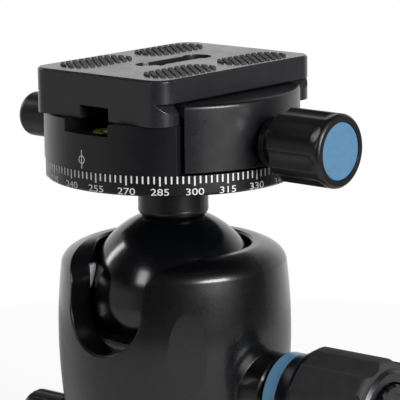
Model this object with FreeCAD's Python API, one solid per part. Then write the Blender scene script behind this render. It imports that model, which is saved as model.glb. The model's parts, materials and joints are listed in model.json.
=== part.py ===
import FreeCAD, Part
import math
import os

# Tripod ball head with a panning dovetail clamp and a camera plate. Millimetres, +Z up.
# The origin is the centre of the mounting face under the base. +X is the side of the two
# large knobs, and the housing's drop slot opens towards -Y.

# Overall heights
BALL_Z = 46.5
RING_BOTTOM = 74.2
RING_TOP = 78.6
CLAMP_BOTTOM = 78.75
CHANNEL_FLOOR = 86.6
PLATE_BOTTOM = 89.3
PLATE_TOP = 99.2

# Running clearances
RUNNING = 0.05
SLIDING = 0.15

# Base
EDGE = 0.5
SMALL_EDGE = 0.4
BASE_R = 26.4
BASE_TOP = 6.0
SCALE_RING_R = 27.2
SCALE_RING_IN_R = 24.2
SCALE_RING_LOW = 1.2
POST_R = 13.0
POST_TOP = 13.3
POST_GROOVE_R = 12.2
THREAD_R = 3.97
THREAD_LEAD_IN = 0.6
FACE_RELIEF_IN_R = 18.5
FACE_RELIEF_OUT_R = 21.5
FACE_RELIEF_DEEP = 0.6
POST_GROOVE_HALF = 1.9
POST_GROOVE_FLOOR = 1.0
PAN_WASHER_T = 0.45
PAN_WASHER_IN_R = 14.5
PAN_WASHER_OUT_R = 22.5
RETAINER_R = 15.8
RETAINER_T = 2.0
RETAINER_SCREW_PCD_R = 9.2
RETAINER_SCREW_R = 1.45
RETAINER_SCREW_HEAD_R = 2.6
RETAINER_SCREW_HEAD_H = 1.3
RETAINER_SCREW_TIP = 8.0

# Housing. Its knobs and slot stand turned a little about the vertical from the clamp's.
HOUSING_TURN = 2.3
HOUSING_BOTTOM = 6.55
HOUSING_FLOOR = 17.0
HOUSING_TOP = BALL_Z + 11.9
HOUSING_MAX_R = 26.4
BULGE_R = 26.34
BULGE_Z = 40.25
SHOULDER_R = 25.36
SHOULDER_Z = BALL_Z + 8.0
SKIRT_R = 25.35
SKIRT_Z = 22.0
FOOT_R = 24.6
FOOT_Z = 9.0
FOOT_CHAMFER = 1.2
DOME_SIDE_R = 24.62
DOME_SIDE_Z = BALL_Z + 9.36
DOME_R = 23.3
DOME_Z = BALL_Z + 10.5
DOME_TOP_R = 21.6
DOME_TOP_Z = BALL_Z + 11.35
RIM_R = 19.6
RIM_LIP = 0.5
RIM_MOUTH_R = 17.5
RIM_MOUTH_LOW_R = 18.3
CAVITY_R = 20.05
CAVITY_TOP = BALL_Z + 8.2
SLOT_HALF = 10.0
SLOT_Z = BALL_Z + 1.0
SLOT_EDGE = 0.35
SLOT_FLARE_R = 7.5
FACET_HALF = 4.9
FACET_TOP = BALL_Z + 2.5
FACET_BOTTOM = 14.0
FACET_DIST = 26.0
FACET_ANGLE = -45.0

# Ball and its seats
BALL_R = 19.5
BALL_GAP = 0.08
BALL_FLAT_R = 7.0
SPIGOT_R = 4.0
SPIGOT_DEEP = 9.0
SEAT_LOW = BALL_Z + 3.0
SEAT_TOUCH = BALL_Z + 4.6
CUP_BOTTOM = 17.6
CUP_TOP = BALL_Z - 8.2
CUP_EDGE = 1.0
SEAT_RELIEF = 1.5

# Main lock
LOCK_Z = 27.7
LOCK_SHAFT_R = 5.0
LOCK_NOSE_R = 2.6
LOCK_NOSE_X = 18.5
LOCK_THREAD_X = 21.0
LOCK_LEAD = 0.7
BOSS_R = 9.1
BOSS_EDGE = 0.8
BOSS_X = 30.7
WEDGE_IN_X = 11.2
WEDGE_OUT_X = 18.4
WEDGE_HALF = 4.8
WEDGE_BOTTOM = 17.1
WEDGE_LOW_Z = 26.9
WEDGE_HIGH_Z = 30.2
WEDGE_GAP = 0.06
SHAFT_WAY = 0.6
SHAFT_WAY_AHEAD = 1.5
COLLAR_R = 9.8
COLLAR_X0 = 31.5
COLLAR_X1 = 35.0
KNOB_CONE_X = 35.0
KNOB_GRIP_X = 39.8
KNOB_END_X = 58.5
KNOB_CORE_R = 10.2
KNOB_STEP = 0.7
KNOB_GRIP_R = 12.3
GRIP_ROUND = 1.4
KNOB_LOBES = 8
KNOB_LOBE_CUT_R = 5.2
KNOB_LOBE_DEPTH = 1.1
DIAL_R = 7.2
DIAL_WELL_R = 7.6
DIAL_WELL_X = 54.0
SHAFT_END_X = DIAL_WELL_X - 6.0
DIAL_END_X = 59.7
DIAL_STEM_R = 2.4
DIAL_NOTCHES = 18
DIAL_NOTCH_R = 0.5
DIAL_NOTCH_LONG = 2.0
DIAL_GAP = 0.3
DIAL_FACE_R = 4.9

# Base pan lock
PAN_LOCK_Z = 10.0
PAN_LOCK_BOSS_R = 4.6
PAN_LOCK_BOSS_X = 29.2
PAN_LOCK_SCREW_R = 2.5
PAN_LOCK_KNOB_R = 6.2
PAN_LOCK_KNOB_X0 = 30.0
PAN_LOCK_KNOB_X1 = 44.0
PAN_LOCK_PAD_R = 2.4
PAN_LOCK_PAD_X0 = 12.4
PAN_LOCK_PAD_X1 = 16.2
PAN_LOCK_NOSE_R = 1.5
PAD_EDGE = 0.6

SMALL_KNOB_ROOT = 0.66
SMALL_KNOB_NECK = 1.2
SMALL_KNOB_FLARE = 3.2
SMALL_KNOB_DOME = 1.6
SMALL_KNOB_END = 3.0
PAN_LOCK_FLUTES = 12
PAN_LOCK_FLUTE_R = 1.0
PAN_LOCK_FLUTE_OUT = 0.55

# Stem, panning scale ring and its bearing
NECK_R = 7.9
NECK_FOOT_R = 6.6
NECK_ROUND_Z = BALL_Z + 19.9
NECK_GROOVE_Z = BALL_Z + 23.6
NECK_GROOVE_H = 0.5
NECK_GROOVE_DEPTH = 0.35
FLANGE_R = 18.0
FLANGE_LOW = 75.4
FLANGE_TOP = 77.4
HUB_R = 8.5
HUB_TOP = 84.8
RING_R = 28.3
RING_EDGE = 0.5
RING_SCREWS = 4
RING_SCREW_PCD_R = 13.0
RING_SCREW_R = 1.2
RING_SCREW_HEAD_R = 2.2
PIVOT_WASHER_R = 10.2
PIVOT_WASHER_T = 0.6
PIVOT_BOLT_R = 2.5
PIVOT_HEAD_R = 4.4
PIVOT_HEAD_H = 1.15
PIVOT_HEX_R = 1.7
PIVOT_BOLT_TIP = 70.0

# Clamp
CLAMP_R = 28.5
BODY_CUT_X = 19.5
JAW_X = 20.7
JAW_BOTTOM = 79.2
JAW_TOP = 93.7
NOSE_X = 17.9
NOSE_Z = 93.1
NOSE_HALF_Y = 19.3
FLANK_SUM = 111.0
JAW_EDGE_R = 0.9
CHANNEL_HALF = 6.3
LEVEL_Y = -20.6
LEVEL_X = 0.6
LEVEL_R = 5.2
LEVEL_VIAL_R = 4.3
LEVEL_DEEP = 3.6
COUNTERBORE_R = 10.5
CLAMP_SCREW_Z = 84.0
CLAMP_SCREW_R = 3.0
CLAMP_SCREW_TIP_X = 12.3
CLAMP_BORE_END_X = 11.8
PIN_Y = 11.6
PIN_R = 1.5
PIN_X0 = 12.0
PIN_X1 = 24.2
SPRING_Y = 15.6
SPRING_R = 1.8
SPRING_IN_R = 1.1
SPRING_X0 = 14.0
SPRING_X1 = 22.2
CLAMP_KNOB_X0 = 28.9
CLAMP_KNOB_COLLAR_X = 30.4
CLAMP_KNOB_COLLAR_R = 5.4
CLAMP_KNOB_CONE_X = 33.4
CLAMP_KNOB_R = 8.0
CLAMP_KNOB_FACE_R = 7.4
CLAMP_KNOB_END_X = 47.1
CLAMP_KNOB_FLUTES = 6
CLAMP_KNOB_FLUTE_R = 6.0
CLAMP_KNOB_FLUTE_DEPTH = 0.7
CAP_R = 6.2
CAP_T = 0.9
CAP_SUNK = 0.15

# Top pan lock
TOP_LOCK_Z = 83.2
TOP_LOCK_SCREW_R = 2.0
TOP_LOCK_KNOB_R = 5.2
TOP_LOCK_KNOB_X0 = 29.0
TOP_LOCK_KNOB_X1 = 43.9
TOP_LOCK_PAD_R = 1.5
TOP_LOCK_PAD_X0 = 8.6
TOP_LOCK_PAD_X1 = 12.0

# Camera plate
PLATE_HALF_X = 19.1
PLATE_HALF_Y = 26.2
PLATE_Y = 1.0
PLATE_CORNER_R = 4.2
PLATE_LIP_Z = 91.85
PLATE_WAIST_X = 17.0
PLATE_FLANGE_Z = 94.15
PLATE_EDGE = 0.4
PLATE_CHANNEL_HALF = 4.15
PLATE_CHANNEL_TOP = 92.2
PLATE_POCKET_HALF = 5.2
PLATE_POCKET_Y0 = -13.6
PLATE_POCKET_Y1 = 13.4
PLATE_POCKET_TOP = 94.3
PLATE_SLOT_HALF = 2.5
PLATE_SLOT_Y0 = -7.9
PLATE_SLOT_Y1 = 7.7
PLATE_HOLE_R = 3.3
GRIP_X = 12.3
GRIP_Y = 12.1
GRIP_HALF_X = 4.4
GRIP_HALF_Y = 9.5
GRIP_RIBS = 13
GRIP_PITCH = 2.05
GRIP_RIB_HALF_W = 0.52
GRIP_LEAST_VOLUME = 0.4
GRIP_ANGLE = -40.0
GRIP_PROUD = 0.35
GRIP_DEEP = 0.5

# Camera screw
CAMERA_HEAD_R = 4.0
CAMERA_HEAD_H = 2.3
CAMERA_NECK_R = 2.35
CAMERA_THREAD_R = 3.175
CAMERA_NECK_H = 3.4
CAMERA_TIP_Z = 98.7
CAMERA_HEAD_Z = 86.9
CAMERA_COIN_SLOT = 1.2

ORIGIN = FreeCAD.Vector(0, 0, 0)
UP = FreeCAD.Vector(0, 0, 1)
ALONG_Y = FreeCAD.Vector(0, 1, 0)
FULL_TURN = 360.0
FAR = 80.0


def vec(x, y, z):
    return FreeCAD.Vector(x, y, z)


def outline(start, steps, lift=0.0):
    """A closed face in the XZ plane. A step is a point, or a mid point and an end point of an arc."""
    edges = []
    here = vec(start[0], lift, start[1])
    first = here
    for step in steps:
        if len(step) == 4:
            middle = vec(step[0], lift, step[1])
            there = vec(step[2], lift, step[3])
            edges.append(Part.Arc(here, middle, there).toShape())
        else:
            there = vec(step[0], lift, step[1])
            edges.append(Part.makeLine(here, there))
        here = there
    if (here - first).Length > 1e-6:
        edges.append(Part.makeLine(here, first))
    return Part.Face(Part.Wire(edges))


def turned(start, steps):
    """A solid of revolution about Z from a radius and height outline."""
    return outline(start, steps).revolve(ORIGIN, UP, FULL_TURN)


def lay_along_x(shape, z, side=1):
    """Lay a shape turned about Z along +X, or along -X where side is -1, at height z."""
    laid = shape.copy()
    laid.rotate(ORIGIN, ALONG_Y, 90.0 * side)
    laid.translate(vec(0, 0, z))
    return laid


def disc(r, z0, z1):
    return Part.makeCylinder(r, z1 - z0, vec(0, 0, z0))


def tube(r_out, r_in, z0, z1):
    return disc(r_out, z0, z1).cut(disc(r_in, z0 - 1, z1 + 1))


def rod_x(r, x0, x1, y, z):
    return Part.makeCylinder(r, x1 - x0, vec(x0, y, z), vec(1, 0, 0))


def block(x0, x1, y0, y1, z0, z1):
    return Part.makeBox(x1 - x0, y1 - y0, z1 - z0, vec(x0, y0, z0))


def spun(shape, degrees):
    turned_copy = shape.copy()
    turned_copy.rotate(ORIGIN, UP, degrees)
    return turned_copy


def pattern(shape, count, first=0.0):
    """Equal copies of a shape round the Z axis."""
    return [spun(shape, first + FULL_TURN * i / count) for i in range(count)]


def cut_all(shape, tools):
    for tool in tools:
        shape = shape.cut(tool)
    return shape


def save(node, shape):
    solids = shape.Solids
    result = solids[0] if len(solids) == 1 else Part.makeCompound(solids)
    result.exportStep("parts/" + node + ".step")


# Base and its panning bearing

def retainer_screw_holes(radius, z0, z1):
    hole = Part.makeCylinder(radius, z1 - z0, vec(RETAINER_SCREW_PCD_R, 0, z0))
    return pattern(hole, 3, 30.0)


def base_plate():
    body = turned((0, 0), [
        (BASE_R - EDGE, 0), (BASE_R, EDGE), (BASE_R, SCALE_RING_LOW),
        (SCALE_RING_IN_R, SCALE_RING_LOW), (SCALE_RING_IN_R, BASE_TOP), (POST_R, BASE_TOP),
        (POST_R, PAN_LOCK_Z - POST_GROOVE_HALF), (POST_GROOVE_R, PAN_LOCK_Z - POST_GROOVE_FLOOR),
        (POST_GROOVE_R, PAN_LOCK_Z + POST_GROOVE_FLOOR), (POST_R, PAN_LOCK_Z + POST_GROOVE_HALF),
        (POST_R, POST_TOP - EDGE), (POST_R - EDGE, POST_TOP), (0, POST_TOP)])
    lead_in = turned((0, -1), [(THREAD_R + 1, -1), (THREAD_R + THREAD_LEAD_IN, 0),
                               (THREAD_R, THREAD_LEAD_IN), (0, THREAD_LEAD_IN)])
    relief = turned((FACE_RELIEF_IN_R, -1), [
        (FACE_RELIEF_OUT_R, -1), (FACE_RELIEF_OUT_R, FACE_RELIEF_DEEP),
        (FACE_RELIEF_IN_R, FACE_RELIEF_DEEP)])
    body = body.cut(disc(THREAD_R, -1, POST_TOP + 1))
    body = cut_all(body, [lead_in, relief])
    screw_hole = RETAINER_SCREW_R + RUNNING
    return cut_all(body, retainer_screw_holes(screw_hole, RETAINER_SCREW_TIP - 1, POST_TOP + 1))


def base_scale_ring():
    inner = SCALE_RING_IN_R + RUNNING
    low = SCALE_RING_LOW + RUNNING
    return turned((inner, low), [
        (SCALE_RING_R - SMALL_EDGE, low), (SCALE_RING_R, low + SMALL_EDGE),
        (SCALE_RING_R, BASE_TOP - SMALL_EDGE), (SCALE_RING_R - SMALL_EDGE, BASE_TOP), (inner, BASE_TOP)])


def pan_washer():
    return tube(PAN_WASHER_OUT_R, PAN_WASHER_IN_R, BASE_TOP, BASE_TOP + PAN_WASHER_T)


def pan_retainer_disc():
    plate = disc(RETAINER_R, POST_TOP, POST_TOP + RETAINER_T)
    holes = retainer_screw_holes(RETAINER_SCREW_R + RUNNING, POST_TOP - 1, POST_TOP + RETAINER_T + 1)
    return cut_all(plate, holes)


def pan_retainer_screws():
    top = POST_TOP + RETAINER_T
    shank = Part.makeCylinder(RETAINER_SCREW_R, top - RETAINER_SCREW_TIP,
                              vec(RETAINER_SCREW_PCD_R, 0, RETAINER_SCREW_TIP))
    head = Part.makeCylinder(RETAINER_SCREW_HEAD_R, RETAINER_SCREW_HEAD_H,
                             vec(RETAINER_SCREW_PCD_R, 0, top))
    return Part.makeCompound(pattern(shank.fuse(head).removeSplitter(), 3, 30.0))


# Housing

def housing_blank():
    body = turned((0, HOUSING_BOTTOM), [
        (FOOT_R - FOOT_CHAMFER, HOUSING_BOTTOM),
        (FOOT_R, HOUSING_BOTTOM + FOOT_CHAMFER), (FOOT_R, FOOT_Z),
        (SKIRT_R, SKIRT_Z),
        (BULGE_R, BULGE_Z, SHOULDER_R, SHOULDER_Z),
        (DOME_SIDE_R, DOME_SIDE_Z, DOME_R, DOME_Z),
        (DOME_TOP_R, DOME_TOP_Z, RIM_R, HOUSING_TOP),
        (RIM_MOUTH_R + RIM_LIP, HOUSING_TOP), (RIM_MOUTH_R, HOUSING_TOP - RIM_LIP),
        (RIM_MOUTH_LOW_R, CAVITY_TOP), (0, CAVITY_TOP)])
    boss = lay_along_x(turned((0, 0), [
        (BOSS_R, 0), (BOSS_R, BOSS_X - BOSS_EDGE), (BOSS_R - BOSS_EDGE, BOSS_X), (0, BOSS_X)]), LOCK_Z)
    small_boss = lay_along_x(turned((0, 0), [
        (PAN_LOCK_BOSS_R, 0), (PAN_LOCK_BOSS_R, PAN_LOCK_BOSS_X - EDGE),
        (PAN_LOCK_BOSS_R - EDGE, PAN_LOCK_BOSS_X), (0, PAN_LOCK_BOSS_X)]), PAN_LOCK_Z, -1)
    under = disc(BASE_R + 4, 0, HOUSING_BOTTOM)
    return body.fuse(boss).fuse(small_boss.cut(under)).removeSplitter()


def drop_slot(extra=0.0):
    """The U-shaped slot that lets the stem lie over to the horizontal, towards -Y."""
    half = SLOT_HALF + extra
    round_end = Part.makeCylinder(half, FAR, vec(0, 0, SLOT_Z), vec(0, -1, 0))
    upright = block(-half, half, -FAR, 0, SLOT_Z, SLOT_Z + FAR)
    return round_end.fuse(upright).removeSplitter()


def slot_flare():
    """The slot's top corners, rounded outwards until they run into the rim."""
    side_x = SLOT_HALF + SLOT_FLARE_R
    low_z = HOUSING_TOP - SLOT_FLARE_R
    mouth = block(-side_x, side_x, -FAR, 0, low_z, HOUSING_TOP + 1)
    corners = [Part.makeCylinder(SLOT_FLARE_R, FAR, vec(x, 0, low_z), vec(0, -1, 0))
               for x in (-side_x, side_x)]
    return cut_all(mouth, corners)


def slot_edge_break():
    """A narrow bevel where the slot meets the barrel's outside."""
    start = HOUSING_MAX_R - SLOT_EDGE
    wide = drop_slot(SLOT_EDGE)
    shell = disc(HOUSING_MAX_R + 3, 0, FAR).cut(disc(start, -1, FAR + 1))
    return wide.common(shell)


def facet_cut():
    """A flat, arch-topped face on the barrel beside the slot."""
    arch_z = FACET_TOP - FACET_HALF
    bar = block(FACET_DIST, FAR, -FACET_HALF, FACET_HALF, FACET_BOTTOM, arch_z)
    arch = Part.makeCylinder(FACET_HALF, FAR, vec(FACET_DIST, 0, arch_z), vec(1, 0, 0))
    return spun(bar.fuse(arch).removeSplitter(), FACET_ANGLE)


def housing():
    body = housing_blank()
    body = body.cut(disc(CAVITY_R, HOUSING_FLOOR, CAVITY_TOP))
    body = body.cut(disc(POST_R + RUNNING, 0, HOUSING_FLOOR + 1))
    body = body.cut(disc(RETAINER_R + SLIDING, POST_TOP - SLIDING, HOUSING_FLOOR + 1))
    body = body.cut(disc(RIM_MOUTH_R, CAVITY_TOP - 1, HOUSING_TOP + 1))
    body = body.cut(drop_slot())
    body = body.cut(slot_flare())
    body = body.cut(slot_edge_break())
    body = body.cut(facet_cut())
    body = body.cut(rod_x(LOCK_SHAFT_R + RUNNING, 0, FAR, 0, LOCK_Z))
    body = body.cut(rod_x(PAN_LOCK_SCREW_R + RUNNING, -FAR, 0, 0, PAN_LOCK_Z))
    return body


def ball_sphere(gap=0.0):
    return Part.makeSphere(BALL_R + gap, vec(0, 0, BALL_Z))


def seat_ring():
    """The ring that the ball is pressed up against. The drop slot interrupts it."""
    outer = CAVITY_R - RUNNING
    ring = disc(outer, SEAT_LOW, CAVITY_TOP - RUNNING)
    ring = ring.cut(ball_sphere(BALL_GAP))
    touch_r = math.sqrt((BALL_R + BALL_GAP) ** 2 - (SEAT_TOUCH - BALL_Z) ** 2)
    relief = turned((0, SEAT_LOW - 1), [(touch_r + SEAT_RELIEF, SEAT_LOW - 1),
                                        (touch_r, SEAT_TOUCH), (0, SEAT_TOUCH)])
    mouth = disc(RIM_MOUTH_LOW_R, SEAT_TOUCH, CAVITY_TOP + 1)
    return cut_all(ring, [relief, mouth, drop_slot()])


def wedge_ramp(gap):
    rise = (WEDGE_HIGH_Z - WEDGE_LOW_Z) / (WEDGE_OUT_X - WEDGE_IN_X)
    return lambda x: WEDGE_LOW_Z + gap + rise * (x - WEDGE_IN_X)


def wedge_prism(x0, x1, half, low, gap):
    top = wedge_ramp(gap)
    face = outline((x0, low), [(x1, low), (x1, top(x1)), (x0, top(x0))], -half)
    return face.extrude(vec(0, 2 * half, 0))


def lower_ball_cup():
    """The cup under the ball. A ramped pocket on its +X side takes the locking wedge."""
    outer = CAVITY_R - SLIDING
    cup = turned((0, CUP_BOTTOM), [
        (outer - CUP_EDGE, CUP_BOTTOM), (outer, CUP_BOTTOM + CUP_EDGE), (outer, CUP_TOP), (0, CUP_TOP)])
    cup = cup.cut(ball_sphere(BALL_GAP))
    pocket = wedge_prism(WEDGE_IN_X - EDGE, FAR, WEDGE_HALF + SLIDING, 0, WEDGE_GAP)
    shaft_way = rod_x(LOCK_SHAFT_R + SHAFT_WAY, LOCK_NOSE_X - SHAFT_WAY_AHEAD, FAR, 0, LOCK_Z)
    return cut_all(cup, [pocket, shaft_way])


def lock_wedge():
    return wedge_prism(WEDGE_IN_X, WEDGE_OUT_X, WEDGE_HALF, WEDGE_BOTTOM, 0.0)


# Main lock knob

def main_lock_shaft():
    return lay_along_x(turned((0, LOCK_NOSE_X), [
        (LOCK_NOSE_R - SMALL_EDGE, LOCK_NOSE_X), (LOCK_NOSE_R, LOCK_NOSE_X + SMALL_EDGE),
        (LOCK_NOSE_R, LOCK_THREAD_X - LOCK_LEAD), (LOCK_SHAFT_R - LOCK_LEAD, LOCK_THREAD_X),
        (LOCK_SHAFT_R, LOCK_THREAD_X + LOCK_LEAD), (LOCK_SHAFT_R, SHAFT_END_X),
        (0, SHAFT_END_X)]), LOCK_Z)


def blue_collar_ring():
    bore = LOCK_SHAFT_R + RUNNING
    return lay_along_x(turned((bore, COLLAR_X0), [
        (COLLAR_R - SMALL_EDGE, COLLAR_X0), (COLLAR_R, COLLAR_X0 + SMALL_EDGE),
        (COLLAR_R, COLLAR_X1), (bore, COLLAR_X1)]), LOCK_Z)


def main_lock_knob():
    """The hard core of the knob: a flared skirt, the drum under the grip and the dial's well."""
    bore = LOCK_SHAFT_R + RUNNING
    flare_r = KNOB_GRIP_R - KNOB_STEP
    flare_x = (KNOB_CONE_X + KNOB_GRIP_X) / 2 - KNOB_STEP
    core = turned((bore, KNOB_CONE_X), [
        (COLLAR_R, KNOB_CONE_X),
        (COLLAR_R + EDGE, flare_x, flare_r, KNOB_GRIP_X - KNOB_STEP),
        (flare_r, KNOB_GRIP_X), (KNOB_CORE_R, KNOB_GRIP_X),
        (KNOB_CORE_R, KNOB_END_X - KNOB_STEP), (KNOB_CORE_R - KNOB_STEP, KNOB_END_X),
        (DIAL_WELL_R, KNOB_END_X), (DIAL_WELL_R, DIAL_WELL_X),
        (DIAL_STEM_R + RUNNING, DIAL_WELL_X), (DIAL_STEM_R + RUNNING, SHAFT_END_X),
        (bore, SHAFT_END_X)])
    return lay_along_x(core, LOCK_Z)


def main_knob_grip():
    """The lobed rubber sleeve of the main knob."""
    inner = KNOB_CORE_R + RUNNING
    start = KNOB_GRIP_X + RUNNING
    end = KNOB_END_X - KNOB_STEP
    sleeve = turned((inner, start), [
        (KNOB_GRIP_R - EDGE, start), (KNOB_GRIP_R, start + EDGE), (KNOB_GRIP_R, end - GRIP_ROUND),
        (KNOB_GRIP_R - SMALL_EDGE, end - SMALL_EDGE, KNOB_GRIP_R - GRIP_ROUND, end), (inner, end)])
    cutter = Part.makeCylinder(KNOB_LOBE_CUT_R, FAR,
                               vec(KNOB_GRIP_R + KNOB_LOBE_CUT_R - KNOB_LOBE_DEPTH, 0, 0))
    return lay_along_x(cut_all(sleeve, pattern(cutter, KNOB_LOBES, 180.0 / KNOB_LOBES)), LOCK_Z)


def friction_dial():
    """The small notched wheel in the knob's end that presets the ball's drag."""
    root = SHAFT_END_X + 1.0
    back = DIAL_WELL_X + DIAL_GAP
    wheel = turned((0, root), [
        (DIAL_STEM_R, root), (DIAL_STEM_R, back),
        (DIAL_R, back), (DIAL_R, DIAL_END_X - SMALL_EDGE),
        (DIAL_R - SMALL_EDGE, DIAL_END_X), (DIAL_FACE_R + EDGE, DIAL_END_X),
        (DIAL_FACE_R, DIAL_END_X - EDGE), (0, DIAL_END_X - EDGE)])
    notch = Part.makeCylinder(DIAL_NOTCH_R, FAR, vec(DIAL_R, 0, DIAL_END_X - DIAL_NOTCH_LONG))
    return lay_along_x(cut_all(wheel, pattern(notch, DIAL_NOTCHES)), LOCK_Z)


# Pan locks

def small_knob(r, x0, x1, screw_r):
    """A smooth round knob with a waisted root and a domed end."""
    root = r * SMALL_KNOB_ROOT
    solid_x = x1 - SMALL_KNOB_END
    return turned((screw_r, x0), [
        (root, x0), (root, x0 + SMALL_KNOB_NECK), (r, x0 + SMALL_KNOB_FLARE), (r, x1 - SMALL_KNOB_DOME),
        (r - EDGE, x1 - EDGE, r - SMALL_KNOB_DOME, x1), (0, x1), (0, solid_x), (screw_r, solid_x)])


def base_pan_lock_knob():
    knob = small_knob(PAN_LOCK_KNOB_R, PAN_LOCK_KNOB_X0, PAN_LOCK_KNOB_X1, PAN_LOCK_SCREW_R + RUNNING)
    flute_x = PAN_LOCK_KNOB_X0 + SMALL_KNOB_FLARE + SMALL_EDGE
    flute = Part.makeCylinder(PAN_LOCK_FLUTE_R, FAR, vec(PAN_LOCK_KNOB_R + PAN_LOCK_FLUTE_OUT, 0, flute_x))
    return lay_along_x(cut_all(knob, pattern(flute, PAN_LOCK_FLUTES)), PAN_LOCK_Z, -1)


def base_pan_lock_screw():
    end = PAN_LOCK_KNOB_X1 - SMALL_KNOB_END - RUNNING
    return rod_x(PAN_LOCK_SCREW_R, -end, -PAN_LOCK_PAD_X1 - RUNNING, 0, PAN_LOCK_Z)


def base_pan_lock_pad():
    return lay_along_x(turned((0, PAN_LOCK_PAD_X0), [
        (PAN_LOCK_NOSE_R - PAD_EDGE, PAN_LOCK_PAD_X0), (PAN_LOCK_NOSE_R, PAN_LOCK_PAD_X0 + PAD_EDGE),
        (PAN_LOCK_PAD_R, PAN_LOCK_PAD_X0 + PAN_LOCK_NOSE_R), (PAN_LOCK_PAD_R, PAN_LOCK_PAD_X1),
        (0, PAN_LOCK_PAD_X1)]), PAN_LOCK_Z, -1)


def top_pan_lock_knob():
    knob = small_knob(TOP_LOCK_KNOB_R, TOP_LOCK_KNOB_X0, TOP_LOCK_KNOB_X1, TOP_LOCK_SCREW_R + RUNNING)
    return lay_along_x(knob, TOP_LOCK_Z, -1)


def top_pan_lock_screw():
    end = TOP_LOCK_KNOB_X1 - SMALL_KNOB_END - RUNNING
    return rod_x(TOP_LOCK_SCREW_R, -end, -TOP_LOCK_PAD_X1 - RUNNING, 0, TOP_LOCK_Z)


def top_pan_lock_pad():
    return lay_along_x(turned((0, TOP_LOCK_PAD_X0), [
        (TOP_LOCK_PAD_R - PAD_EDGE, TOP_LOCK_PAD_X0), (TOP_LOCK_PAD_R, TOP_LOCK_PAD_X0 + PAD_EDGE),
        (TOP_LOCK_PAD_R, TOP_LOCK_PAD_X1),
        (0, TOP_LOCK_PAD_X1)]), TOP_LOCK_Z, -1)


# Ball, stem and scale ring

def flat_height():
    return BALL_Z + math.sqrt(BALL_R ** 2 - BALL_FLAT_R ** 2)


def ball():
    flat = flat_height()
    sphere = ball_sphere().cut(disc(BALL_R, flat, flat + BALL_R))
    return sphere.cut(disc(SPIGOT_R + RUNNING, flat - SPIGOT_DEEP - 0.3, flat + 1))


def stem():
    """Neck, bearing flange and hub, turned in one piece with a spigot that seats in the ball."""
    flat = flat_height()
    neck_top = NECK_GROOVE_Z + NECK_GROOVE_H
    groove_r = NECK_R - NECK_GROOVE_DEPTH
    body = turned((0, flat - SPIGOT_DEEP), [
        (SPIGOT_R, flat - SPIGOT_DEEP), (SPIGOT_R, flat), (NECK_FOOT_R, flat),
        (NECK_R - 0.25, flat + 0.55, NECK_R, NECK_ROUND_Z),
        (NECK_R, NECK_GROOVE_Z), (groove_r, NECK_GROOVE_Z), (groove_r, neck_top),
        (NECK_R, neck_top), (NECK_R, FLANGE_LOW), (FLANGE_R, FLANGE_LOW),
        (FLANGE_R, FLANGE_TOP), (HUB_R, FLANGE_TOP), (HUB_R, HUB_TOP), (0, HUB_TOP)])
    body = body.cut(disc(PIVOT_BOLT_R + RUNNING, PIVOT_BOLT_TIP - 0.5, HUB_TOP + 1))
    hole = Part.makeCylinder(RING_SCREW_R + RUNNING, 3.0, vec(RING_SCREW_PCD_R, 0, RING_BOTTOM))
    return cut_all(body, pattern(hole, RING_SCREWS, 45.0))


def pan_scale_ring():
    """The drum under the clamp that carries the 360-degree scale."""
    ring = turned((NECK_R + RUNNING, RING_BOTTOM), [
        (RING_R - RING_EDGE, RING_BOTTOM), (RING_R, RING_BOTTOM + RING_EDGE),
        (RING_R, RING_TOP), (FLANGE_R + RUNNING, RING_TOP),
        (FLANGE_R + RUNNING, FLANGE_LOW), (NECK_R + RUNNING, FLANGE_LOW)])
    groove = turned((19.0, RING_BOTTOM - 1), [(24.0, RING_BOTTOM - 1), (24.0, RING_BOTTOM + 0.6),
                                              (19.0, RING_BOTTOM + 0.6)])
    hole = Part.makeCylinder(RING_SCREW_R + RUNNING, 3.0, vec(RING_SCREW_PCD_R, 0, RING_BOTTOM - 1))
    sink = Part.makeCylinder(RING_SCREW_HEAD_R + RUNNING, 1.7, vec(RING_SCREW_PCD_R, 0, RING_BOTTOM - 1))
    tools = [groove] + pattern(hole, RING_SCREWS, 45.0) + pattern(sink, RING_SCREWS, 45.0)
    return cut_all(ring, tools)


def scale_ring_screws():
    """Four low-headed screws that hold the scale ring up against the stem's flange."""
    head_z = RING_BOTTOM + 0.7
    head = Part.makeCylinder(RING_SCREW_HEAD_R, 0.65, vec(RING_SCREW_PCD_R, 0, head_z - 0.65))
    shank = Part.makeCylinder(RING_SCREW_R, 2.1, vec(RING_SCREW_PCD_R, 0, head_z - 0.1))
    slot = block(RING_SCREW_PCD_R - 1.4, RING_SCREW_PCD_R + 1.4, -0.25, 0.25,
                 RING_BOTTOM - 1, RING_BOTTOM + 0.35)
    screw = head.fuse(shank).removeSplitter().cut(slot)
    return Part.makeCompound(pattern(screw, RING_SCREWS, 45.0))


def top_pan_washer():
    return tube(FLANGE_R - 0.4, HUB_R + 0.2, FLANGE_TOP, CLAMP_BOTTOM - RUNNING)


def pivot_washer():
    return tube(PIVOT_WASHER_R, PIVOT_BOLT_R + RUNNING, HUB_TOP, HUB_TOP + PIVOT_WASHER_T)


def pivot_bolt():
    """The socket-headed bolt that holds the clamp down on the stem's hub."""
    head_z = HUB_TOP + PIVOT_WASHER_T
    bolt = turned((0, PIVOT_BOLT_TIP), [
        (PIVOT_BOLT_R, PIVOT_BOLT_TIP), (PIVOT_BOLT_R, head_z), (PIVOT_HEAD_R, head_z),
        (PIVOT_HEAD_R, head_z + PIVOT_HEAD_H - 0.3), (PIVOT_HEAD_R - 0.3, head_z + PIVOT_HEAD_H),
        (0, head_z + PIVOT_HEAD_H)])
    corners = [vec(PIVOT_HEX_R * math.cos(math.radians(a)), PIVOT_HEX_R * math.sin(math.radians(a)),
                   head_z + 0.4) for a in range(0, 361, 60)]
    socket = Part.Face(Part.makePolygon(corners)).extrude(vec(0, 0, PIVOT_HEAD_H))
    return bolt.cut(socket)


# Clamp

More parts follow.
